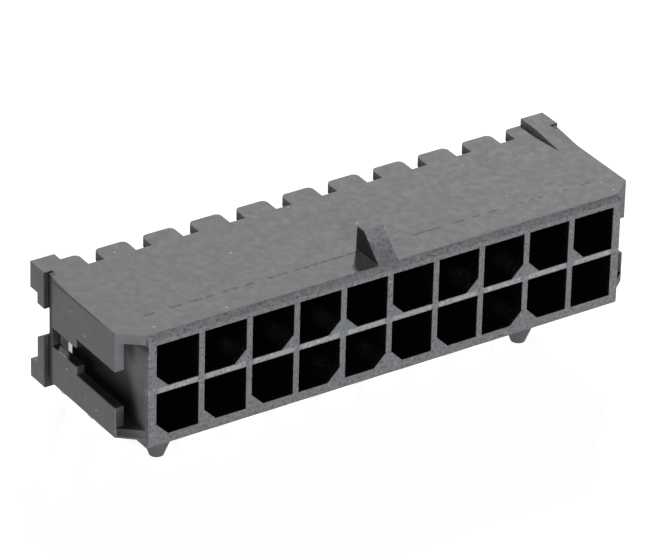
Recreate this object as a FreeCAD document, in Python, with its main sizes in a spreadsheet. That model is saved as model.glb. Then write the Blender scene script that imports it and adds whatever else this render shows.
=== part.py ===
import FreeCAD, Part
import os
import re
import Sketcher

# Right-angle pin header: two rows of square cavities in one moulded housing, with
# twenty bent square terminals.
# X runs along the rows, Y from the mating face to the tails and Z up from the board.
# The origin is the point on the board midway between the two locating pegs.
# Every shape is drawn with the mating face at Y = 0 and then moved back by peg_setback.

SIZES = {
    # rows and cavities
    "columns": 10,
    "pitch": 3.0,
    "row_pitch": 3.0,
    "cavity": 2.65,
    "cavity_depth": 6.7,
    "key": 0.75,
    # block
    "end_wall": 0.5,
    "floor_wall": 0.675,
    "deck": 0.575,
    "rear_wall": 1.3,
    "top_lip": 0.3,
    "bottom_lip": 0.15,
    # side walls, with the pocket between each of them and the block
    "pocket": 0.72,
    "side_wall": 0.555,
    "side_lift": 0.45,
    "wing": 0.6,
    "corner_back": 1.35,
    "corner_in": 1.6,
    "slot_wide_low": 2.27,
    "slot_wide_high": 4.53,
    "slot_narrow_low": 2.77,
    "slot_narrow_high": 3.95,
    "slot_step": 5.45,
    "groove_width": 0.15,
    "groove_depth": 0.28,
    # flange ears at the rear
    "flange_gap": 0.4,
    "ear_proud": 0.225,
    "flange": 1.51,
    "shelf": 0.76,
    "ear_rise": 0.3,
    "rise_run": 2.35,
    "foot_height": 1.1,
    "foot_shoulder": 1.2,
    "notch_low_rear": 2.85,
    "notch_low": 3.3,
    "notch_high": 4.95,
    "ear_shelf": 5.6,
    # comb along the rear edge of the deck
    "comb_reach": 1.7,
    "comb_notch": 1.0,
    "notch_depth": 1.2,
    "comb_round": 0.35,
    # latch ramp on the deck
    "latch_width": 1.31,
    "latch_height": 1.43,
    "latch_run": 1.58,
    "latch_land": 0.57,
    "latch_setback": 0.3,
    "latch_draft": 0.06,
    # locating pegs
    "peg_span": 24.0,
    "peg_setback": 4.6,
    "peg_radius": 0.75,
    "peg_shank": 2.85,
    "peg_taper": 0.85,
    "peg_tip_radius": 0.42,
    # terminals
    "wire": 0.64,
    "contact_recess": 3.0,
    "contact_taper": 0.7,
    "contact_tip": 0.3,
    "bend_inside": 0.35,
    "tail_gap": 0.6,
    "tail_pitch": 3.0,
    "tail_length": 3.18,
    "tail_taper": 0.45,
    "tail_tip": 0.34,
    # how far a cutter stands out past the face that it opens
    "overcut": 1.0,
}

# Lines that follow from the sizes, in the same words
LINES = {
    "half_block": "((columns - 1) * pitch / 2 + cavity / 2 + end_wall)",
    "half_side": "(half_block + pocket + side_wall)",
    "half_ear": "(half_side + ear_proud)",
    "block_depth": "(cavity_depth + rear_wall)",
    "flange_front": "(block_depth + flange_gap)",
    "depth": "(flange_front + flange)",
    "low_row": "(floor_wall + cavity / 2)",
    "high_row": "(low_row + row_pitch)",
    "deck_under": "(high_row + cavity / 2)",
    "top": "(deck_under + deck)",
    "comb_rear": "(block_depth + comb_reach)",
    "low_tail": "(block_depth + tail_gap + wire / 2)",
    "high_tail": "(low_tail + tail_pitch)",
}

doc = FreeCAD.newDocument("PinHeader")
sheet = doc.addObject("Spreadsheet::Sheet", "Sizes")
for row, (word, number) in enumerate(SIZES.items(), start=1):
    sheet.set("A%d" % row, word)
    sheet.set("B%d" % row, str(number))
    sheet.setAlias("B%d" % row, word)
doc.recompute()

ACROSS = FreeCAD.Vector(1, 0, 0)
BACK = FreeCAD.Vector(0, 1, 0)
UP = FreeCAD.Vector(0, 0, 1)
# Each drawing plane: its first axis, its second axis, the way it is extruded and the
# letter of that axis
SIDE_PLANE = (BACK, UP, ACROSS, "x")
FRONT_PLANE = (ACROSS, UP, BACK, "y")
FLAT_PLANE = (ACROSS, BACK, UP, "z")


def bind(text):
    """Write a formula in words as an expression on the sheet."""
    text = str(text)
    for word in reversed(list(LINES)):
        text = re.sub(r"\b%s\b" % word, LINES[word], text)
    return re.sub(r"[a-z][a-z_]+", lambda found: "Sizes." + found.group(0), text)


def move(item, x=None, y=None, z=None):
    """Bind the place of an object to the sizes."""
    for axis, text in (("x", x), ("y", y), ("z", z)):
        if text is not None:
            item.setExpression("Placement.Base." + axis, bind(text))
    return item


def box(name, width, depth, height, x="0", y="0", z="0"):
    """Make a box from its low corner."""
    item = doc.addObject("Part::Box", name)
    item.setExpression("Length", bind(width))
    item.setExpression("Width", bind(depth))
    item.setExpression("Height", bind(height))
    return move(item, x, y, z)


def rod(name, radius, height, x="0", y="0", z="0", end_radius=None):
    """Make an upright cylinder, or a cone where the end radius is given."""
    item = doc.addObject("Part::Cone" if end_radius else "Part::Cylinder", name)
    if end_radius:
        item.setExpression("Radius1", bind(radius))
        item.setExpression("Radius2", bind(end_radius))
    else:
        item.setExpression("Radius", bind(radius))
    item.setExpression("Height", bind(height))
    return move(item, x, y, z)


def prism(name, plane, corners, start, length):
    """Extrude a closed outline whose corners are all bound to the sizes."""
    first, second, along, letter = plane
    sketch = doc.addObject("Sketcher::SketchObject", name + "_outline")
    turn = FreeCAD.Rotation(first, second, first.cross(second))
    sketch.Placement = FreeCAD.Placement(FreeCAD.Vector(0, 0, 0), turn)
    spots = [FreeCAD.Vector(value(one), value(two), 0) for one, two in corners]
    for index, spot in enumerate(spots):
        after = spots[(index + 1) % len(spots)]
        sketch.addGeometry(Part.LineSegment(spot, after), False)
    for index, (one, two) in enumerate(corners):
        before = (index - 1) % len(corners)
        sketch.addConstraint(Sketcher.Constraint("Coincident", before, 2, index, 1))
        for kind, text, number in (
            ("DistanceX", one, spots[index].x),
            ("DistanceY", two, spots[index].y),
        ):
            spot = Sketcher.Constraint(kind, -1, 1, index, 1, number)
            place = sketch.addConstraint(spot)
            sketch.setExpression("Constraints[%d]" % place, bind(text))
    move(sketch, **{letter: start})
    item = doc.addObject("Part::Extrusion", name)
    item.Base = sketch
    item.DirMode = "Custom"
    item.Dir = along
    item.Solid = True
    item.setExpression("LengthFwd", bind(length))
    return item


def value(text):
    """Work out a formula in words as a number."""
    return float(sheet.evalExpression(bind(text).replace("Sizes.", "")))


def join(name, items):
    """Fuse solids into one."""
    item = doc.addObject("Part::MultiFuse", name)
    item.Shapes = items
    item.Refine = True
    return item


def cut(name, base, tool):
    """Take one solid away from another."""
    item = doc.addObject("Part::Cut", name)
    item.Base = base
    item.Tool = tool
    item.Refine = True
    return item


COLUMNS = int(SIZES["columns"])
columns = range(1, COLUMNS + 1)


def column_x(number):
    """Where the middle of a column lies along the rows."""
    return "(%d - (columns + 1) / 2) * pitch" % number


# Block
solids = [box("block", "2 * half_block", "block_depth", "top", "-half_block")]

# Deck over the block, the pockets and the tails, and the wings below the pockets
deck_corners = [
    ("corner_in - half_side", "0"),
    ("half_side - corner_in", "0"),
    ("half_side", "corner_back"),
    ("half_side", "comb_rear"),
    ("-half_side", "comb_rear"),
    ("-half_side", "corner_back"),
]
deck = prism("deck_plate", FLAT_PLANE, deck_corners, "deck_under", "deck")
notches = []
for number in columns:
    notches.append(
        box(
            "comb_notch_%02d" % number,
            "comb_notch",
            "notch_depth + overcut",
            "deck + 2 * overcut",
            column_x(number) + " - comb_notch / 2",
            "comb_rear - notch_depth",
            "deck_under - overcut",
        )
    )
comb = cut("comb", deck, join("comb_notches", notches))
doc.recompute()

# Round the rear corners of the comb's teeth
rounded = doc.addObject("Part::Fillet", "comb_rounded")
rounded.Base = comb
tooth_edges = []
for index, edge in enumerate(comb.Shape.Edges, start=1):
    middle = edge.BoundBox.Center
    upright = edge.BoundBox.ZLength > 0.9 * SIZES["deck"]
    inboard = abs(middle.x) < value("half_side") - SIZES["pitch"] / 4
    if upright and inboard and abs(middle.y - value("comb_rear")) < 0.01:
        tooth_edges.append((index, SIZES["comb_round"], SIZES["comb_round"]))
rounded.Edges = tooth_edges
solids.append(rounded)

wing_corners = [
    ("corner_in - half_side", "0"),
    ("half_side - corner_in", "0"),
    ("half_side", "corner_back"),
    ("half_side", "flange_front"),
    ("-half_side", "flange_front"),
    ("-half_side", "corner_back"),
]
wings = prism("wing_plate", FLAT_PLANE, wing_corners, "side_lift", "wing")
middle = box("wing_middle", "2 * half_block", "depth", "top", "-half_block", "block_depth")
solids.append(cut("wings", wings, middle))

# Side walls, each with its stepped slot open to the front, and the rear flange ears
slot_corners = [
    ("corner_back - overcut", "slot_wide_low"),
    ("slot_step", "slot_wide_low"),
    ("slot_step", "slot_narrow_low"),
    ("block_depth", "slot_narrow_low"),
    ("block_depth", "slot_narrow_high"),
    ("slot_step", "slot_narrow_high"),
    ("slot_step", "slot_wide_high"),
    ("corner_back - overcut", "slot_wide_high"),
]
foot_corners = [
    ("flange_front", "0"),
    ("depth", "0"),
    ("depth", "foot_height"),
    ("depth - shelf", "foot_shoulder"),
    ("depth - shelf", "notch_low_rear"),
    ("flange_front", "notch_low"),
]
ear_corners = [
    ("flange_front", "notch_high"),
    ("depth - shelf", "notch_high"),
    ("depth - shelf", "ear_shelf"),
    ("depth", "ear_shelf"),
    ("depth", "top + ear_rise"),
    ("flange_front", "top + ear_rise"),
]
rise_corners = [
    ("flange_front - rise_run", "top"),
    ("flange_front", "top"),
    ("flange_front", "top + ear_rise"),
]
for side, wall_x, slot_x, flange_x in (
    ("left", "-half_side", "-half_side - overcut", "-half_ear"),
    ("right", "half_side - side_wall", "half_block + pocket / 2", "half_block"),
):
    wall = box(
        side + "_wall",
        "side_wall",
        "flange_front - corner_back",
        "top - side_lift",
        wall_x,
        "corner_back",
        "side_lift",
    )
    slot = prism(
        side + "_slot", SIDE_PLANE, slot_corners, slot_x, "side_wall + pocket / 2 + overcut"
    )
    solids.append(cut(side + "_side", wall, slot))
    width = "half_ear - half_block"
    solids.append(prism(side + "_foot", SIDE_PLANE, foot_corners, flange_x, width))
    solids.append(prism(side + "_ear", SIDE_PLANE, ear_corners, flange_x, width))
    rise_x = "-half_side" if side == "left" else "half_block"
    rise_width = "half_side - half_block"
    solids.append(prism(side + "_rise", SIDE_PLANE, rise_corners, rise_x, rise_width))

# Latch ramp
latch_corners = [
    ("latch_setback", "top"),
    ("latch_setback + latch_run + latch_land + latch_draft", "top"),
    ("latch_setback + latch_run + latch_land", "top + latch_height"),
    ("latch_setback + latch_run", "top + latch_height"),
]
solids.append(prism("latch", SIDE_PLANE, latch_corners, "-latch_width / 2", "latch_width"))

# Locating pegs, a round shank and a tapered tip
for side, peg_x in (("left", "-peg_span / 2"), ("right", "peg_span / 2")):
    solids.append(
        rod(side + "_shank", "peg_radius", "peg_shank", peg_x, "peg_setback", "-peg_shank")
    )
    tip = rod(
        side + "_tip",
        "peg_tip_radius",
        "peg_taper",
        peg_x,
        "peg_setback",
        "-peg_shank - peg_taper",
        end_radius="peg_radius",
    )
    solids.append(tip)

# Cavities, each with one lower corner filled as its key: L, R or neither
KEYS = {"high": "LRRRLLRRLL", "low": "LLLRRLLRL-"}
cutters = []
for row_name, row_z in (("high", "high_row"), ("low", "low_row")):
    for number in columns:
        key = KEYS[row_name][(number - 1) % len(KEYS[row_name])]
        here = column_x(number)
        left = here + " - cavity / 2"
        right = here + " + cavity / 2"
        floor = row_z + " - cavity / 2"
        roof = row_z + " + cavity / 2"
        corners = [(left, roof), (right, roof)]
        if key == "R":
            corners += [(right, floor + " + key"), (right + " - key", floor)]
        else:
            corners += [(right, floor)]
        if key == "L":
            corners += [(left + " + key", floor), (left, floor + " + key")]
        else:
            corners += [(left, floor)]
        name = "%s_cavity_%02d" % (row_name, number)
        cutters.append(
            prism(name, FRONT_PLANE, corners, "-overcut", "cavity_depth + overcut")
        )
        # The square hole in the rear wall takes the wire face to face
        cutters.append(
            box(
                "%s_hole_%02d" % (row_name, number),
                "wire",
                "rear_wall + overcut",
                "wire",
                here + " - wire / 2",
                "cavity_depth - overcut / 2",
                row_z + " - wire / 2",
            )
        )

# Upright groove in each side wall, just ahead of the flange
for side, groove_x in (
    ("left", "-half_side - overcut"),
    ("right", "half_side - groove_depth"),
):
    groove = box(
        side + "_groove",
        "groove_depth + overcut",
        "groove_width",
        "top + ear_rise + 2 * overcut",
        groove_x,
        "flange_front - groove_width",
        "-overcut",
    )
    cutters.append(groove)

# Small chamfers along the front edges, above and below the cavities
reach = "half_side + overcut"
lip_top = [
    ("-overcut", "top - top_lip - overcut"),
    ("top_lip + overcut", "top + overcut"),
    ("-overcut", "top + overcut"),
]
lip_bottom = [
    ("-overcut", "-overcut"),
    ("bottom_lip + overcut", "-overcut"),
    ("-overcut", "bottom_lip + overcut"),
]
cutters.append(prism("top_edge", SIDE_PLANE, lip_top, "-(%s)" % reach, "2 * (%s)" % reach))
cutters.append(
    prism("bottom_edge", SIDE_PLANE, lip_bottom, "-(%s)" % reach, "2 * (%s)" % reach)
)

housing = cut("housing", join("housing_solids", solids), join("housing_cuts", cutters))
pieces = [move(housing, y="-peg_setback")]

# Terminals: tapered contact, straight run, quarter bend, tail and tapered tail end
for row_name, row_z, tail_y in (
    ("upper", "high_row", "high_tail"),
    ("lower", "low_row", "low_tail"),
):
    for number in columns:
        name = "%s_pin_%02d" % (row_name, number)
        left = column_x(number) + " - wire / 2"
        run = box(
            name + "_run",
            "wire",
            tail_y + " - wire / 2 - bend_inside - contact_recess - contact_taper",
            "wire",
            left,
            "contact_recess + contact_taper",
            row_z + " - wire / 2",
        )
        tail = box(
            name + "_tail",
            "wire",
            "wire",
            row_z + " - wire / 2 - bend_inside + tail_length - tail_taper",
            left,
            tail_y + " - wire / 2",
            "tail_taper - tail_length",
        )
        quarters = []
        for part_name, radius in (("outer", "bend_inside + wire"), ("inner", "bend_inside")):
            quarter = rod(name + "_" + part_name, radius, "wire")
            quarter.Angle = 90
            turn = FreeCAD.Rotation(BACK, UP, ACROSS)
            quarter.Placement = FreeCAD.Placement(FreeCAD.Vector(0, 0, 0), turn)
            move(
                quarter,
                left,
                tail_y + " - wire / 2 - bend_inside",
                row_z + " - wire / 2 - bend_inside",
            )
            quarters.append(quarter)
        bend = cut(name + "_bend", quarters[0], quarters[1])
        ends = []
        for part_name, tip, taper in (
            ("contact", "contact_tip", "contact_taper"),
            ("end", "tail_tip", "tail_taper"),
        ):
            end = doc.addObject("Part::Wedge", name + "_" + part_name)
            end.setExpression("Xmin", bind("(wire - %s) / 2" % tip))
            end.setExpression("Xmax", bind("(wire + %s) / 2" % tip))
            end.setExpression("Zmin", bind("(wire - %s) / 2" % tip))
            end.setExpression("Zmax", bind("(wire + %s) / 2" % tip))
            end.setExpression("X2min", bind("0 * wire"))
            end.setExpression("X2max", bind("wire"))
            end.setExpression("Z2min", bind("0 * wire"))
            end.setExpression("Z2max", bind("wire"))
            end.setExpression("Ymin", bind("0 * wire"))
            end.setExpression("Ymax", bind(taper))
            ends.append(end)
        move(ends[0], left, "contact_recess", row_z + " - wire / 2")
        upright = FreeCAD.Rotation(ACROSS, UP, -BACK)
        ends[1].Placement = FreeCAD.Placement(FreeCAD.Vector(0, 0, 0), upright)
        move(ends[1], left, tail_y + " + wire / 2", "-tail_length")
        terminal = join(name, [run, tail, bend] + ends)
        pieces.append(move(terminal, y="-peg_setback"))

# Work everything out, check it and write each piece
doc.recompute()
for item in doc.Objects:
    if "Invalid" in item.State or "Error" in item.State:
        raise RuntimeError("%s did not recompute: %s" % (item.Name, item.State))
os.makedirs("parts", exist_ok=True)
for piece in pieces:
    piece.Label = piece.Name
    if piece.Shape.isNull() or not piece.Shape.isValid() or len(piece.Shape.Solids) != 1:
        raise RuntimeError("%s has no single valid solid" % piece.Label)
    piece.Shape.exportStep(os.path.join("parts", piece.Label + ".step"))
    extent = piece.Shape.BoundBox
    print("%s %.3f mm3" % (piece.Label, piece.Shape.Volume), extent)
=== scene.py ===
"""Looks of a right-angle pin header: plastic housing, plated terminals, floor, lamps, camera."""

import logging
import math
from dataclasses import dataclass
from enum import Enum
from functools import cached_property

import bmesh
import bpy
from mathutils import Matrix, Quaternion, Vector

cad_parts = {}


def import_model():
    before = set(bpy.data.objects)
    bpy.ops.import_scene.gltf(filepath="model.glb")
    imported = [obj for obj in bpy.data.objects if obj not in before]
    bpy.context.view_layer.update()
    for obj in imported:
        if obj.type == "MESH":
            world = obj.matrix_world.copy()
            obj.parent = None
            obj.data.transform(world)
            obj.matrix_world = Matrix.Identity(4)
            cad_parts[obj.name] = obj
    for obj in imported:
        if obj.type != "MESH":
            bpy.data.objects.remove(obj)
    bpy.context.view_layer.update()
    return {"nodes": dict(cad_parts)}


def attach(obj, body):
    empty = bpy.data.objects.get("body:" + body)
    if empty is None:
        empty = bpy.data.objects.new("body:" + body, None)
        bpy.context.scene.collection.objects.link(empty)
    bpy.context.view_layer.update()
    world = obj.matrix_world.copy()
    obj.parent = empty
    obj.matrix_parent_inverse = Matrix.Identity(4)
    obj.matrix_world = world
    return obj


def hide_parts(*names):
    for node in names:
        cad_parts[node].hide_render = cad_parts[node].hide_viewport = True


MM = 0.001
LOG = logging.getLogger("pin_header")

# How far a mask fades: at an edge of the shape, and where the edge may show softly
CRISP = 0.03 * MM
SOFT = 0.1 * MM

Triple = tuple[float, float, float]
Range = tuple[float, float]
Socket = bpy.types.NodeSocket
Outputs = bpy.types.NodeOutputs


class Slot(Enum):
    """Material slots of the record, which each piece holds."""

    PLASTIC = "housing_plastic"
    WIRE = "plated_wire"


@dataclass(frozen=True)
class GrainSizes:
    """Sizes of the three noises of one grain, in metres."""

    fine: float
    slow: float
    speck: float


class Graph:
    """A short way to add and join nodes in one node tree."""

    def __init__(self, tree: bpy.types.NodeTree) -> None:
        """Keep the tree that nodes are added to.

        Args:
            tree: The node tree of a material, world or group.
        """
        self.tree = tree

    def node(self, kind: str, **settings: object) -> bpy.types.Node:
        """Add a node and set its properties.

        Args:
            kind: Blender's identifier of the node type.
            **settings: Properties of the node by name.

        Returns:
            The new node.
        """
        made = self.tree.nodes.new(kind)
        for name, setting in settings.items():
            setattr(made, name, setting)
        return made

    def join(self, source: Socket, target: Socket) -> None:
        """Link an output socket to an input socket."""
        self.tree.links.new(source, target)

    def feed(self, target: Socket, given: object) -> None:
        """Link a socket to another socket, or set its plain value.

        Args:
            target: The input socket.
            given: An output socket, a number or a colour.
        """
        if isinstance(given, Socket):
            self.join(given, target)
        else:
            target.default_value = given

    def math(self, operation: str, *given: object, clamp: bool = False) -> Socket:
        """Add a Math node.

        Args:
            operation: Blender's name of the operation.
            *given: Sockets or numbers for the inputs, in order.
            clamp: Whether the result is kept between 0 and 1.

        Returns:
            The node's output.
        """
        made = self.node("ShaderNodeMath", operation=operation, use_clamp=clamp)
        for target, one in zip(made.inputs, given):
            self.feed(target, one)
        return made.outputs[0]

    def times(self, first: Socket, *others: object) -> Socket:
        """Multiply values, such as masks that all have to hold.

        Args:
            first: The first value.
            *others: Sockets or numbers.

        Returns:
            The product.
        """
        product = first
        for other in others:
            product = self.math("MULTIPLY", product, other)
        return product

    def most(self, first: Socket, *others: Socket) -> Socket:
        """Take the greatest value, such as that of masks of which one is enough.

        Args:
            first: The first value.
            *others: The other values.

        Returns:
            The greatest.
        """
        greatest = first
        for other in others:
            greatest = self.math("MAXIMUM", greatest, other)
        return greatest

    def remap(self, given: Socket, low: float, high: float, start: float, end: float) -> Socket:
        """Carry a value smoothly from one range to another.

        Args:
            given: The value.
            low: Where the input range starts.
            high: Where the input range ends.
            start: The output at low.
            end: The output at high.

        Returns:
            The new value.
        """
        made = self.node("ShaderNodeMapRange", interpolation_type="SMOOTHSTEP")
        self.join(given, made.inputs["Value"])
        made.inputs["From Min"].default_value = low
        made.inputs["From Max"].default_value = high
        made.inputs["To Min"].default_value = start
        made.inputs["To Max"].default_value = end
        return made.outputs["Result"]

    def rise(self, given: Socket, low: float, high: float, top: float = 1.0) -> Socket:
        """Go smoothly from 0 up to the top.

        Args:
            given: The value.
            low: Where the result is still 0.
            high: Where it has reached the top.
            top: The greatest result.

        Returns:
            The result.
        """
        return self.remap(given, low, high, 0.0, top)

    def fall(self, given: Socket, low: float, high: float, top: float = 1.0) -> Socket:
        """Go smoothly from the top down to 0.

        Args:
            given: The value.
            low: Where the result is still at the top.
            high: Where it has reached 0.
            top: The greatest result.

        Returns:
            The result.
        """
        return self.remap(given, low, high, top, 0.0)

    def grain(self, group: bpy.types.NodeTree, place: Socket, sizes: GrainSizes) -> bpy.types.Node:
        """Place the grain group.

        Args:
            group: The shared grain group.
            place: The coordinates that it reads.
            sizes: The sizes of its noises.

        Returns:
            The group's node.
        """
        made = self.node("ShaderNodeGroup", node_tree=group)
        self.join(place, made.inputs["Position"])
        made.inputs["Fine Size"].default_value = sizes.fine
        made.inputs["Slow Size"].default_value = sizes.slow
        made.inputs["Speck Size"].default_value = sizes.speck
        return made

    def band(
        self, group: bpy.types.NodeTree, along: Socket, centre: float, half: float, fade: float
    ) -> Socket:
        """Place the band group.

        Args:
            group: The shared band group.
            along: The coordinate that the band crosses.
            centre: Where its middle lies.
            half: Half its width.
            fade: How far it fades.

        Returns:
            The mask.
        """
        made = self.node("ShaderNodeGroup", node_tree=group)
        self.join(along, made.inputs["Along"])
        made.inputs["Centre"].default_value = centre
        made.inputs["Half Width"].default_value = half
        made.inputs["Soft Edge"].default_value = fade
        return made.outputs["Mask"]

    def blend(self, factor: object, first: object, second: object) -> Socket:
        """Mix two colours.

        Args:
            factor: A socket or a number from 0 to 1.
            first: The colour at 0.
            second: The colour at 1.

        Returns:
            The mixed colour.
        """
        made = self.node("ShaderNodeMix", data_type="RGBA")
        self.feed(made.inputs["Factor"], factor)
        self.feed(made.inputs["A"], first)
        self.feed(made.inputs["B"], second)
        return made.outputs["Result"]

    def relief(self, height: Socket, strength: float, distance: float) -> Socket:
        """Turn a height into a normal.

        Args:
            height: The height.
            strength: How strongly it shows, from 0 to 1.
            distance: Metres that a height of 1 stands for.

        Returns:
            The normal.
        """
        bump = self.node("ShaderNodeBump")
        bump.inputs["Strength"].default_value = strength
        bump.inputs["Distance"].default_value = distance
        self.join(height, bump.inputs["Height"])
        return bump.outputs["Normal"]

    def seen(self) -> Socket:
        """Tell the rays that show the background from those that it would light things by.

        Returns:
            1 for camera, glossy and transmission rays, and 0 for all others.
        """
        rays = self.node("ShaderNodeLightPath").outputs
        shown = self.math("ADD", rays["Is Camera Ray"], rays["Is Glossy Ray"], clamp=True)
        return self.math("ADD", shown, rays["Is Transmission Ray"], clamp=True)


def new_group(
    name: str, inputs: dict[str, float | None], outputs: tuple[str, ...]
) -> tuple[bpy.types.NodeTree, Graph, bpy.types.Node, bpy.types.Node]:
    """Start a shader node group with named sockets.

    Args:
        name: The group's name.
        inputs: Inputs by name, with the default of a number or None for coordinates.
        outputs: Names of the numbers that it puts out.

    Returns:
        The group, its graph, its input node and its output node.
    """
    tree = bpy.data.node_groups.new(name, "ShaderNodeTree")
    for title, number in inputs.items():
        if number is None:
            tree.interface.new_socket(title, in_out="INPUT", socket_type="NodeSocketVector")
            continue
        made = tree.interface.new_socket(title, in_out="INPUT", socket_type="NodeSocketFloat")
        made.default_value = number
    for title in outputs:
        tree.interface.new_socket(title, in_out="OUTPUT", socket_type="NodeSocketFloat")
    graph = Graph(tree)
    return tree, graph, graph.node("NodeGroupInput"), graph.node("NodeGroupOutput")


def grain_group() -> bpy.types.NodeTree:
    """Build the grain that both finishes share.

    Returns:
        A group that puts out a fine height, a slow tone and sparse specks.
    """
    tree, graph, source, result = new_group(
        "surface grain",
        {"Position": None, "Fine Size": 0.05 * MM, "Slow Size": 2.0 * MM, "Speck Size": 0.12 * MM},
        ("Height", "Tone", "Specks"),
    )
    place = source.outputs["Position"]
    for title, size, detail, low, high in (
        ("Height", "Fine Size", 3.0, 0.25, 0.75),
        ("Tone", "Slow Size", 4.0, 0.3, 0.7),
        ("Specks", "Speck Size", 2.0, 0.54, 0.74),
    ):
        noise = graph.node("ShaderNodeTexNoise")
        graph.join(place, noise.inputs["Vector"])
        graph.join(graph.math("DIVIDE", 1.0, source.outputs[size]), noise.inputs["Scale"])
        noise.inputs["Detail"].default_value = detail
        graph.join(graph.rise(noise.outputs["Fac"], low, high), result.inputs[title])
    return tree


def band_group() -> bpy.types.NodeTree:
    """Build the mask of a straight band across a piece.

    Returns:
        A group whose mask is 1 within the half width of the centre and then fades.
    """
    tree, graph, source, result = new_group(
        "straight band",
        {"Along": 0.0, "Centre": 0.0, "Half Width": MM, "Soft Edge": SOFT},
        ("Mask",),
    )
    away = graph.math("SUBTRACT", source.outputs["Along"], source.outputs["Centre"])
    past = graph.math("SUBTRACT", graph.math("ABSOLUTE", away), source.outputs["Half Width"])
    share = graph.math("DIVIDE", past, source.outputs["Soft Edge"])
    graph.join(graph.math("SUBTRACT", 1.0, share, clamp=True), result.inputs["Mask"])
    return tree


def new_material(name: str) -> tuple[bpy.types.Material, Graph, bpy.types.Node]:
    """Start a material with one Principled shader.

    Args:
        name: The material's name.

    Returns:
        The material, its graph and its shader.
    """
    material = bpy.data.materials.new(name)
    material.use_nodes = True
    return material, Graph(material.node_tree), material.node_tree.nodes["Principled BSDF"]


@dataclass(frozen=True)
class HousingPlaces:
    """Where the features of the housing lie, in metres of the frame."""

    # Mating face: its plane, the depth of its lip and how far its coarse surface fades
    front: float = -4.6 * MM
    face_reach: float = 0.16 * MM
    face_fade: float = 0.3 * MM

    # Block of cavities: its outline inside the walls, where the painted shade in them starts and
    # ends in depth, and the bar between the rows, which gets a painted highlight, with the upright
    # walls that cross it
    block_half: float = 15.2 * MM
    block_low: float = 0.5 * MM
    block_high: float = 6.45 * MM
    mouth: Range = (0.005 * MM, 0.06 * MM)
    cavity_back: float = 2.3 * MM
    row_gap: float = 3.5 * MM
    row_gap_half: float = 0.1 * MM
    column_pitch: float = 3.0 * MM
    crossing: Range = (0.15 * MM, 0.4 * MM)

    # Side pockets between the block and the thin walls, where painted shade is laid; top and
    # ceiling are measured from the deck and the start from the mating face
    pocket_in: float = 15.31 * MM
    pocket_in_fade: float = 0.01 * MM
    pocket_out: float = 16.5 * MM
    pocket_out_fade: float = 0.05 * MM
    pocket_top: Range = (-0.6 * MM, -0.5 * MM)
    pocket_ceiling: Range = (-1.25 * MM, -0.75 * MM)
    pocket_lean: float = -0.5
    pocket_start: Range = (-0.6 * MM, 0.7 * MM)
    wall_in: Range = (16.015 * MM, 16.055 * MM)

    # Deck: its height and the mould seam, which fades towards both ends
    deck: float = 6.9 * MM
    seam: float = -2.4 * MM
    seam_half: float = 0.03 * MM
    seam_fade: float = 0.04 * MM
    seam_end: Range = (14.5 * MM, 14.9 * MM)

    # Shaded rim of the deck above each side wall
    rim: float = 6.84 * MM
    rim_half: float = 0.035 * MM
    rim_fade: float = 0.04 * MM
    rim_aside: float = 16.6 * MM
    rim_aside_half: float = 0.05 * MM
    rim_run: Range = (-2.4 * MM, -0.9 * MM)

    # Latch: half its width, its left flank, which gets painted shade, and heights above the deck
    latch_half: float = 0.7 * MM
    latch_flank: float = -0.655 * MM
    latch_flank_half: float = 0.04 * MM
    latch_foot: Range = (0.02 * MM, 0.2 * MM)
    latch_crest: Range = (0.55 * MM, 1.2 * MM)
    flank_foot: Range = (0.01 * MM, 0.08 * MM)

    # Groove ahead of the flange ears, and the pegs below the board, both given painted shade
    groove: float = 3.62 * MM
    groove_half: float = 0.19 * MM
    groove_fade: float = 0.14 * MM
    groove_in: Range = (16.3 * MM, 16.32 * MM)
    peg_top: float = -0.15 * MM


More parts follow.
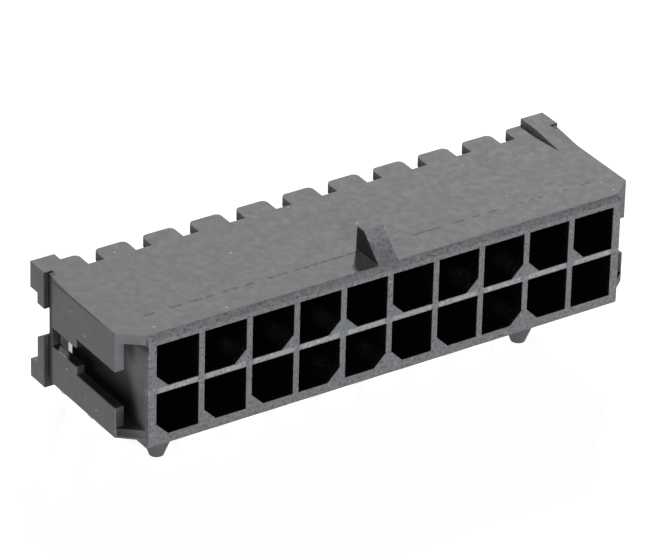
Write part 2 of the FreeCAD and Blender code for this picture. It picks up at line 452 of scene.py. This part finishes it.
class HousingMasks:
    """Masks of the housing's features, as sockets of one material."""

    # How strong a mask is at its fullest, or from its weakest to its fullest
    LATCH = 0.8
    CREST = 0.3
    # Strengths of the painted highlight on the bar, from where walls cross it to the open bar
    BAR = (0.2, 1.0)
    # Strengths of the painted shade in the side pockets
    POCKET_DEPTH = 0.97
    POCKET_CEILING = 0.8
    SEAM = (0.15, 1.0)
    RIM = (0.1, 0.9)

    # Tones of the coarse grain between which the seam breaks and shows
    SEAM_TONES = (0.35, 0.6)

    def __init__(
        self, graph: Graph, band: bpy.types.NodeTree, place: Socket, coarse: Outputs
    ) -> None:
        """Split the coordinates that the masks read.

        Args:
            graph: The material's graph.
            band: The shared band group.
            place: Object coordinates.
            coarse: Outputs of the coarse grain, which breaks the mould seam.
        """
        self.graph = graph
        self.group = band
        self.coarse = coarse
        self.at = HousingPlaces()
        apart = graph.node("ShaderNodeSeparateXYZ")
        graph.join(place, apart.inputs[0])
        self.across, self.back, self.up = apart.outputs
        self.aside = graph.math("ABSOLUTE", self.across)

    def band(self, along: Socket, centre: float, half: float, fade: float = CRISP) -> Socket:
        """Mask a straight band.

        Args:
            along: The coordinate that the band crosses.
            centre: Where its middle lies.
            half: Half its width.
            fade: How far it fades.

        Returns:
            The mask.
        """
        return self.graph.band(self.group, along, centre, half, fade)

    @cached_property
    def face(self) -> Socket:
        """Mask the mating face with its lip."""
        return self.band(self.back, self.at.front, self.at.face_reach, self.at.face_fade)

    @cached_property
    def latch(self) -> Socket:
        """Mask the latch above the deck."""
        foot, full = self.at.latch_foot
        return self.graph.times(
            self.band(self.across, 0.0, self.at.latch_half),
            self.graph.rise(self.up, self.at.deck + foot, self.at.deck + full, self.LATCH),
        )

    @cached_property
    def crest(self) -> Socket:
        """Mask the upper part of the latch."""
        start, full = self.at.latch_crest
        high = self.graph.rise(self.up, self.at.deck + start, self.at.deck + full, self.CREST)
        return self.graph.times(self.latch, high)

    @cached_property
    def rough(self) -> Socket:
        """Mask the coarse surfaces: the mating face and the latch."""
        return self.graph.most(self.face, self.latch)

    @cached_property
    def bar(self) -> Socket:
        """Mask the painted highlight on the bar between the two rows, fainter where upright walls
        cross it.
        """
        at = self.at
        clear = self.graph.math("PINGPONG", self.across, at.column_pitch / 2)
        return self.graph.times(
            self.face,
            self.band(self.up, at.row_gap, at.row_gap_half, SOFT),
            self.graph.remap(clear, *at.crossing, *self.BAR),
        )

    @cached_property
    def cavities(self) -> Socket:
        """Mask the painted shade, near black, inside the cavities."""
        at = self.at
        start, full = at.mouth
        middle = (at.block_low + at.block_high) / 2
        inside = self.graph.times(
            self.band(self.up, middle, at.block_high - middle),
            self.band(self.across, 0.0, at.block_half),
        )
        depth = self.graph.times(
            self.graph.rise(self.back, at.front + start, at.front + full),
            self.graph.fall(self.back, at.cavity_back, at.cavity_back + SOFT),
        )
        return self.graph.times(inside, depth)

    @cached_property
    def pockets(self) -> Socket:
        """Mask the painted shade in the pocket behind each side wall: darker further back and
        lower down, and under the deck.
        """
        at = self.at
        graph = self.graph
        between = graph.times(
            graph.rise(self.aside, at.pocket_in, at.pocket_in + at.pocket_in_fade),
            graph.fall(self.aside, at.pocket_out, at.pocket_out + at.pocket_out_fade),
        )
        under = graph.times(
            graph.fall(self.up, *(at.deck + one for one in at.pocket_top)),
            graph.rise(self.up, at.block_low, at.block_low + SOFT),
        )
        lean = graph.math("MULTIPLY_ADD", self.up, at.pocket_lean, self.back)
        depth = graph.times(
            graph.rise(lean, *(at.front + one for one in at.pocket_start), self.POCKET_DEPTH),
            graph.fall(self.back, at.groove, at.groove + SOFT),
        )
        heights = (at.deck + one for one in at.pocket_ceiling)
        ceiling = graph.times(
            graph.rise(self.up, *heights, self.POCKET_CEILING),
            graph.fall(self.aside, *at.wall_in),
        )
        return graph.times(between, under, graph.most(depth, ceiling))

    @cached_property
    def seam(self) -> Socket:
        """Mask the broken dark line where two halves of the mould met across the deck."""
        at = self.at
        return self.graph.times(
            self.band(self.back, at.seam, at.seam_half, at.seam_fade),
            self.band(self.up, at.deck, at.seam_half),
            self.graph.remap(self.coarse["Tone"], *self.SEAM_TONES, *self.SEAM),
            self.graph.fall(self.aside, *at.seam_end),
        )

    @cached_property
    def groove(self) -> Socket:
        """Mask the painted shade in the groove between each side wall and its flange ear."""
        at = self.at
        return self.graph.times(
            self.band(self.back, at.groove, at.groove_half, at.groove_fade),
            self.graph.rise(self.aside, *at.groove_in),
        )

    @cached_property
    def flank(self) -> Socket:
        """Mask the painted shade on the left flank of the latch."""
        foot, full = self.at.flank_foot
        return self.graph.times(
            self.band(self.across, self.at.latch_flank, self.at.latch_flank_half),
            self.graph.rise(self.up, self.at.deck + foot, self.at.deck + full),
        )

    @cached_property
    def rim(self) -> Socket:
        """Mask the shaded top edge of each side wall, stronger towards the rear."""
        at = self.at
        return self.graph.times(
            self.band(self.up, at.rim, at.rim_half, at.rim_fade),
            self.band(self.aside, at.rim_aside, at.rim_aside_half),
            self.graph.remap(self.back, *at.rim_run, *self.RIM),
        )

    def pegs(self, strength: float) -> Socket:
        """Mask the painted shade on the pegs below the board.

        Args:
            strength: The mask's value on them.

        Returns:
            The mask.
        """
        return self.graph.fall(self.up, self.at.peg_top, 0.0, strength)


@dataclass(frozen=True)
class MouldedPlastic:
    """Glass-filled plastic, dull on the deck, coarse and paler on the face and the latch, with
    painted shade in its hollows, grooves, latch flank and pegs, and a painted highlight on the bar
    between the rows.
    """

    name: str = "moulded_plastic"
    colour: Triple = (0.104, 0.107, 0.113)
    # Pale colour of the grain specks, also used for the painted highlight on the bar
    pale: Triple = (0.34, 0.355, 0.37)
    # Near black painted shade in the cavities and the side pockets
    inside: Triple = (0.0015, 0.0015, 0.002)
    # Dark of the pits, also used for the painted shade in the grooves, on the rims, on the latch's
    # flank and on the pegs
    pit_and_shade_dark: Triple = (0.010, 0.010, 0.012)
    dust: Triple = (0.62, 0.63, 0.64)
    ior: float = 1.5

    # Mottling: its darkest and lightest share of the colour, and the weight of each grain
    mottling: Range = (0.86, 1.3)
    mottling_weight: float = 0.4
    fine: GrainSizes = GrainSizes(0.07 * MM, 1.3 * MM, 0.1 * MM)
    coarse: GrainSizes = GrainSizes(0.17 * MM, 0.5 * MM, 0.24 * MM)

    # What makes the plastic paler: specks, the coarse grain, and a painted highlight on the bar
    # between the rows, where the specks also stand for glints
    specks: float = 0.05
    specks_rough: float = 0.2
    bar_speck_highlight: float = 0.8
    grain_rough: float = 0.28
    bar_painted_highlight: float = 0.5

    # What makes it darker: pits, from this height down, the seam and the painted shade on the pegs
    pits: float = 0.08
    pits_rough: float = 0.42
    pit_edge: float = 0.3
    seam_shade: float = 0.9
    peg_painted_shade: float = 0.4

    # Roughness, and what changes it
    roughness: float = 0.64
    roughness_fine: float = 0.03
    roughness_coarse: float = 0.06
    roughness_rough: float = 0.1
    roughness_inside: float = -0.36

    # Relief, and what it is made of
    bump: float = 0.5
    bump_distance: float = 0.02 * MM
    height_fine: float = 0.55
    height_coarse: float = 0.35
    height_rough: float = 1.7

    # Dust: size of the cells, and the share of each cell and of all cells that show it
    dust_cell: float = 1.1 * MM
    dust_reach: Range = (0.045, 0.075)
    dust_kept: Range = (0.72, 0.76)
    dust_strength: float = 0.6

    def build(self, grain: bpy.types.NodeTree, band: bpy.types.NodeTree) -> bpy.types.Material:
        """Make the material.

        Args:
            grain: The shared grain group.
            band: The shared band group.

        Returns:
            The finished material.
        """
        material, graph, shader = new_material(self.name)
        place = graph.node("ShaderNodeTexCoord").outputs["Object"]
        fine = graph.grain(grain, place, self.fine).outputs
        coarse = graph.grain(grain, place, self.coarse).outputs
        masks = HousingMasks(graph, band, place, coarse)

        tone = self.mottle(graph, fine, coarse)
        # Painted highlight and painted shade go into the base colour here: paleness holds the
        # bar's highlight, and the cavities, the pockets and the last mask are painted shade
        for mask, colour in (
            (self.paleness(graph, coarse, masks), self.pale),
            (self.pitting(graph, coarse, masks), self.pit_and_shade_dark),
            (self.dusting(graph, place), self.dust),
            (graph.most(masks.cavities, masks.pockets), self.inside),
            (self.shade(graph, masks), self.pit_and_shade_dark),
        ):
            tone = graph.blend(mask, tone, (*colour, 1.0))
        graph.join(tone, shader.inputs["Base Color"])
        graph.join(self.wear(graph, fine, coarse, masks), shader.inputs["Roughness"])
        height = self.height(graph, fine, coarse, masks)
        normal = graph.relief(height, self.bump, self.bump_distance)
        graph.join(normal, shader.inputs["Normal"])
        shader.inputs["IOR"].default_value = self.ior
        return material

    def mottle(self, graph: Graph, fine: Outputs, coarse: Outputs) -> Socket:
        """Make the plastic's own colour, slightly uneven.

        Args:
            graph: The material's graph.
            fine: Outputs of the fine grain.
            coarse: Outputs of the coarse grain.

        Returns:
            The colour.
        """
        dark, light = (tuple(share * one for one in self.colour) for share in self.mottling)
        slow = graph.times(fine["Tone"], self.mottling_weight)
        share = graph.math("MULTIPLY_ADD", coarse["Tone"], self.mottling_weight, slow)
        return graph.blend(share, (*dark, 1.0), (*light, 1.0))

    def paleness(self, graph: Graph, coarse: Outputs, masks: HousingMasks) -> Socket:
        """Tell how pale the surface is: glass-fibre specks and coarse grain, a painted highlight
        on the bar between the rows, and paler towards the top of the latch.

        Args:
            graph: The material's graph.
            coarse: Outputs of the coarse grain.
            masks: The housing's masks.

        Returns:
            A share from 0 to 1.
        """
        amount = graph.math("MULTIPLY_ADD", masks.rough, self.specks_rough, self.specks)
        amount = graph.math("MULTIPLY_ADD", masks.bar, self.bar_speck_highlight, amount)
        share = graph.times(coarse["Specks"], amount)
        grainy = graph.times(coarse["Height"], masks.rough)
        share = graph.math("MULTIPLY_ADD", grainy, self.grain_rough, share)
        share = graph.math("MULTIPLY_ADD", masks.bar, self.bar_painted_highlight, share)
        return graph.math("ADD", share, masks.crest, clamp=True)

    def pitting(self, graph: Graph, coarse: Outputs, masks: HousingMasks) -> Socket:
        """Tell how dark the pits make the surface.

        Args:
            graph: The material's graph.
            coarse: Outputs of the coarse grain.
            masks: The housing's masks.

        Returns:
            A share from 0 to 1.
        """
        deep = graph.rise(coarse["Height"], self.pit_edge, 0.0)
        strength = graph.math("MULTIPLY_ADD", masks.rough, self.pits_rough, self.pits)
        return graph.times(deep, strength)

    def dusting(self, graph: Graph, place: Socket) -> Socket:
        """Scatter a few pale flecks of dust.

        Args:
            graph: The material's graph.
            place: Object coordinates.

        Returns:
            A share from 0 to 1.
        """
        cells = graph.node("ShaderNodeTexVoronoi", feature="F1")
        graph.join(place, cells.inputs["Vector"])
        cells.inputs["Scale"].default_value = 1.0 / self.dust_cell
        chance = graph.node("ShaderNodeSeparateColor")
        graph.join(cells.outputs["Color"], chance.inputs[0])
        inner, outer = self.dust_reach
        near = graph.rise(cells.outputs["Distance"], outer, inner, self.dust_strength)
        return graph.times(near, graph.rise(chance.outputs[0], *self.dust_kept))

    def shade(self, graph: Graph, masks: HousingMasks) -> Socket:
        """Tell how dark the painted shade in the grooves, on the rims, on the latch's flank and on
        the pegs is, and how dark the seam is.

        Args:
            graph: The material's graph.
            masks: The housing's masks.

        Returns:
            A share from 0 to 1.
        """
        seam = graph.times(masks.seam, self.seam_shade)
        return graph.most(masks.groove, masks.rim, masks.flank, masks.pegs(self.peg_painted_shade), seam)

    def wear(
        self, graph: Graph, fine: Outputs, coarse: Outputs, masks: HousingMasks
    ) -> Socket:
        """Make the roughness, uneven outside and low inside the cavities.

        Args:
            graph: The material's graph.
            fine: Outputs of the fine grain.
            coarse: Outputs of the coarse grain.
            masks: The housing's masks.

        Returns:
            The roughness.
        """
        worn: object = self.roughness - self.roughness_fine
        for given, weight in (
            (fine["Tone"], self.roughness_fine),
            (coarse["Tone"], self.roughness_coarse),
            (masks.rough, self.roughness_rough),
            (masks.cavities, self.roughness_inside),
        ):
            worn = graph.math("MULTIPLY_ADD", given, weight, worn)
        return worn

    def height(
        self, graph: Graph, fine: Outputs, coarse: Outputs, masks: HousingMasks
    ) -> Socket:
        """Make the height of the relief.

        Args:
            graph: The material's graph.
            fine: Outputs of the fine grain.
            coarse: Outputs of the coarse grain.
            masks: The housing's masks.

        Returns:
            The height.
        """
        height = graph.times(fine["Height"], self.height_fine)
        strength = graph.math("MULTIPLY_ADD", masks.rough, self.height_rough, self.height_coarse)
        height = graph.math("MULTIPLY_ADD", coarse["Height"], strength, height)
        return graph.math("SUBTRACT", height, masks.seam)


@dataclass(frozen=True)
class TinPlate:
    """Dull bright tin on square wire, with faint drawing lines and a duller cut end."""

    name: str = "tin_plate"
    colour: Triple = (0.62, 0.60, 0.56)
    dull: Triple = (0.36, 0.34, 0.31)
    grain: GrainSizes = GrainSizes(0.03 * MM, 0.5 * MM, 0.08 * MM)
    drawn: Triple = (1.0, 0.12, 0.12)
    stain: float = 0.35
    roughness: float = 0.3
    roughness_stain: float = 0.15
    bump: float = 0.2
    bump_distance: float = 0.008 * MM

    # Cut end: its height, half the band that is fully dull, the fade and the dulling
    tip_height: float = -3.1 * MM
    tip_half: float = 0.05 * MM
    tip_fade: float = 0.15 * MM
    tip_dullness: float = 0.6

    def build(self, grain: bpy.types.NodeTree, band: bpy.types.NodeTree) -> bpy.types.Material:
        """Make the material.

        Args:
            grain: The shared grain group.
            band: The shared band group.

        Returns:
            The finished material.
        """
        material, graph, shader = new_material(self.name)
        place = graph.node("ShaderNodeTexCoord").outputs["Object"]
        along = graph.node("ShaderNodeMapping")
        graph.join(place, along.inputs["Vector"])
        along.inputs["Scale"].default_value = self.drawn
        surface = graph.grain(grain, along.outputs["Vector"], self.grain).outputs
        apart = graph.node("ShaderNodeSeparateXYZ")
        graph.join(place, apart.inputs[0])
        cut = graph.band(band, apart.outputs["Z"], self.tip_height, self.tip_half, self.tip_fade)
        shade = graph.most(
            graph.times(surface["Tone"], self.stain), graph.times(cut, self.tip_dullness)
        )
        tone = graph.blend(shade, (*self.colour, 1.0), (*self.dull, 1.0))
        graph.join(tone, shader.inputs["Base Color"])
        worn = graph.math("MULTIPLY_ADD", surface["Tone"], self.roughness_stain, self.roughness)
        graph.join(worn, shader.inputs["Roughness"])
        shader.inputs["Metallic"].default_value = 1.0
        normal = graph.relief(surface["Height"], self.bump, self.bump_distance)
        graph.join(normal, shader.inputs["Normal"])
        return material


def strip_width(edge: bmesh.types.BMEdge) -> float:
    """Measure the narrower of the faces beside an edge.

    Args:
        edge: The edge.

    Returns:
        The face's area over its longest side.
    """
    return min(
        face.calc_area() / max(side.calc_length() for side in face.edges)
        for face in edge.link_faces
    )


@dataclass
class SoftenedPiece:
    """A merged copy of a solid of the frame, with its edges rounded as the real ones are."""

    node: str
    slot: Slot
    edge: float
    segments: int = 2
    merge: float = 0.0005 * MM
    flat: float = math.radians(0.6)
    flat_weight: int = 100

    # An edge is rounded above the sharp angle and where the faces beside it are this many
    # times as wide as the rounding; a low ridge stays crisp
    sharp: float = math.radians(28)
    room: float = 2.0
    ridge: Range = (math.radians(2.0), math.radians(9.0))

    cuts_x: tuple[float, ...] = ()
    cuts_y: tuple[float, ...] = ()
    cuts_z: tuple[float, ...] = ()
    cut_reach: float = 1e-7

    def divide(self, shape: bmesh.types.BMesh) -> None:
        """Cut the flat faces along the middles of their holes, and mark those cuts as seams.

        Args:
            shape: The merged copy of the solid.
        """
        for axis, places in enumerate((self.cuts_x, self.cuts_y, self.cuts_z)):
            normal = Vector((0.0, 0.0, 0.0))
            normal[axis] = 1.0
            for place in places:
                made = bmesh.ops.bisect_plane(
                    shape,
                    geom=shape.verts[:] + shape.edges[:] + shape.faces[:],
                    dist=self.cut_reach,
                    plane_co=normal * place,
                    plane_no=normal,
                )
                for item in made["geom_cut"]:
                    if isinstance(item, bmesh.types.BMEdge):
                        item.seam = True

    def mark(self, shape: bmesh.types.BMesh) -> None:
        """Choose the edges that are rounded, and keep low ridges and narrow strips crisp.

        Args:
            shape: The merged copy of the solid.
        """
        weight = shape.edges.layers.float.new("bevel_weight_edge")
        for edge in shape.edges:
            if not edge.is_manifold:
                continue
            angle = edge.calc_face_angle()
            if angle > self.sharp and strip_width(edge) > self.room * self.edge:
                edge[weight] = 1.0
            elif angle > self.ridge[0] and (angle < self.ridge[1] or angle > self.sharp):
                edge.smooth = False

    def build(self, source: bpy.types.Object, material: bpy.types.Material) -> bpy.types.Object:
        """Copy the solid, merge it, round its edges and let it stand for the solid.

        Args:
            source: The solid's object.
            material: The finish.

        Returns:
            The new piece.
        """
        shape = bmesh.new()
        shape.from_mesh(source.data)
        shape.transform(source.matrix_world)
        bmesh.ops.remove_doubles(shape, verts=shape.verts[:], dist=self.merge)
        self.divide(shape)
        bmesh.ops.dissolve_limit(
            shape,
            angle_limit=self.flat,
            use_dissolve_boundaries=False,
            verts=shape.verts[:],
            edges=shape.edges[:],
            delimit={"NORMAL", "SEAM"},
        )
        self.mark(shape)
        mesh = bpy.data.meshes.new(self.node + "_shape")
        shape.to_mesh(mesh)
        shape.free()
        mesh.materials.clear()
        mesh.materials.append(material)
        piece = bpy.data.objects.new(self.node + "_piece", mesh)
        bpy.context.scene.collection.objects.link(piece)
        bevel = piece.modifiers.new("edges", "BEVEL")
        bevel.width = self.edge
        bevel.segments = self.segments
        bevel.limit_method = "WEIGHT"
        bevel.use_clamp_overlap = True
        mesh.shade_smooth()
        level = piece.modifiers.new("flat faces", "WEIGHTED_NORMAL")
        level.mode = "FACE_AREA"
        level.weight = self.flat_weight
        level.keep_sharp = True
        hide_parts(self.node)
        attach(piece, "root")
        return piece


@dataclass
class Header:
    """The whole header: one moulded housing and two rows of terminals."""

    housing_edge: float = 0.07 * MM
    wire_edge: float = 0.05 * MM
    columns: int = 10
    pitch: float = 3.0 * MM
    row_heights: Range = (2.0 * MM, 5.0 * MM)
    rows: tuple[str, ...] = ("upper", "lower")

    def build(self, nodes: dict[str, bpy.types.Object]) -> list[bpy.types.Object]:
        """Dress every solid.

        Args:
            nodes: The frame's solids by name.

        Returns:
            The pieces that stand for them.
        """
        grain = grain_group()
        band = band_group()
        plastic = MouldedPlastic().build(grain, band)
        tin = TinPlate().build(grain, band)
        halves = range(-self.columns, self.columns + 1)
        housing = SoftenedPiece(
            "housing",
            Slot.PLASTIC,
            self.housing_edge,
            cuts_x=tuple(half * self.pitch / 2 for half in halves),
            cuts_y=(0.0,),
            cuts_z=(*self.row_heights, sum(self.row_heights) / len(self.row_heights)),
        )
        pieces = [housing.build(nodes["housing"], plastic)]
        for row in self.rows:
            for column in range(1, self.columns + 1):
                name = f"{row}_pin_{column:02d}"
                pin = SoftenedPiece(name, Slot.WIRE, self.wire_edge)
                pieces.append(pin.build(nodes[name], tin))
        return pieces


@dataclass(frozen=True)
class Lamp:
    """One soft square lamp that points at the aim.

    The azimuth is in degrees from straight in front, positive to the right, the elevation
    in degrees above the board, the distance and the side in metres and the energy in watts.
    """

    azimuth: float
    elevation: float
    distance: float
    side: float
    energy: float


@dataclass
class Studio:
    """Pale floor, soft lamps, white surroundings and the camera."""

    floor_height: float = -3.7 * MM
    floor_span: float = 1.6
    floor_colour: Triple = (0.62, 0.62, 0.62)
    floor_roughness: float = 0.9
    floor_specular: float = 0.1
    floor_glow: float = 0.80
    fill: float = 0.18
    aim: Triple = (-0.12 * MM, 0.9 * MM, 3.47 * MM)
    azimuth: float = -33.56
    elevation: float = 29.85
    roll: float = 1.5
    distance: float = 0.2903
    lens: float = 284.2
    sensor: float = 36.0
    clip: Range = (0.01, 10.0)
    lamps: tuple[Lamp, ...] = (
        Lamp(azimuth=142.0, elevation=34.0, distance=1.5, side=0.17, energy=18.5),
        Lamp(azimuth=-75.0, elevation=8.0, distance=0.50, side=0.30, energy=1.0),
        Lamp(azimuth=-8.0, elevation=14.0, distance=0.60, side=0.30, energy=3.2),
    )

    def build(self) -> None:
        """Make the floor, the surroundings, the lamps and the camera."""
        self.build_floor()
        self.build_world()
        for index, lamp in enumerate(self.lamps):
            self.build_lamp(index, lamp)
        self.build_camera()

    def spot(self, azimuth: float, elevation: float, distance: float) -> Vector:
        """Find a point round the aim.

        Args:
            azimuth: Degrees from straight in front, positive to the right.
            elevation: Degrees above the board.
            distance: Metres from the aim.

        Returns:
            The point.
        """
        side = math.radians(azimuth)
        rise = math.radians(elevation)
        level = math.cos(rise)
        way = Vector((math.sin(side) * level, -math.cos(side) * level, math.sin(rise)))
        return Vector(self.aim) + distance * way

    def build_floor(self) -> None:
        """Make the plain pale floor, which shows paler than it lights."""
        shape = bmesh.new()
        bmesh.ops.create_grid(shape, x_segments=1, y_segments=1, size=self.floor_span / 2)
        bmesh.ops.translate(shape, verts=shape.verts[:], vec=(0.0, 0.0, self.floor_height))
        mesh = bpy.data.meshes.new("floor")
        shape.to_mesh(mesh)
        shape.free()
        material, graph, shader = new_material("floor")
        shader.inputs["Base Color"].default_value = (*self.floor_colour, 1.0)
        shader.inputs["Roughness"].default_value = self.floor_roughness
        shader.inputs["Specular IOR Level"].default_value = self.floor_specular
        shader.inputs["Emission Color"].default_value = (1.0, 1.0, 1.0, 1.0)
        glow = graph.times(graph.seen(), self.floor_glow)
        graph.join(glow, shader.inputs["Emission Strength"])
        mesh.materials.append(material)
        floor = bpy.data.objects.new("floor", mesh)
        bpy.context.scene.collection.objects.link(floor)

    def build_world(self) -> None:
        """Make surroundings that look white and light the object a little."""
        world = bpy.data.worlds.new("surroundings")
        world.use_nodes = True
        bpy.context.scene.world = world
        graph = Graph(world.node_tree)
        shader = world.node_tree.nodes["Background"]
        light = graph.math("MULTIPLY_ADD", graph.seen(), 1.0 - self.fill, self.fill)
        graph.join(light, shader.inputs["Strength"])

    def build_lamp(self, index: int, lamp: Lamp) -> None:
        """Make one lamp.

        Args:
            index: The lamp's number.
            lamp: Its place, size and energy.
        """
        data = bpy.data.lights.new(f"lamp_{index}", "AREA")
        data.shape = "SQUARE"
        data.size = lamp.side
        data.energy = lamp.energy
        made = bpy.data.objects.new(f"lamp_{index}", data)
        made.location = self.spot(lamp.azimuth, lamp.elevation, lamp.distance)
        made.rotation_mode = "QUATERNION"
        made.rotation_quaternion = (Vector(self.aim) - made.location).to_track_quat("-Z", "Y")
        bpy.context.scene.collection.objects.link(made)

    def build_camera(self) -> None:
        """Make the camera at the viewing angle of the picture."""
        data = bpy.data.cameras.new("camera")
        data.lens = self.lens
        data.sensor_width = self.sensor
        data.clip_start, data.clip_end = self.clip
        camera = bpy.data.objects.new("camera", data)
        camera.location = self.spot(self.azimuth, self.elevation, self.distance)
        camera.rotation_mode = "QUATERNION"
        look = (Vector(self.aim) - camera.location).to_track_quat("-Z", "Y")
        camera.rotation_quaternion = look @ Quaternion((0.0, 0.0, 1.0), math.radians(self.roll))
        bpy.context.scene.collection.objects.link(camera)
        bpy.context.scene.camera = camera


def main() -> None:
    """Build the pieces in order."""
    logging.basicConfig(level=logging.INFO)
    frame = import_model()
    bpy.context.scene.view_settings.view_transform = "Standard"
    for piece in Header().build(frame["nodes"]):
        LOG.info("piece %s", piece.name)
    Studio().build()


if __name__ == "__main__":
    main()
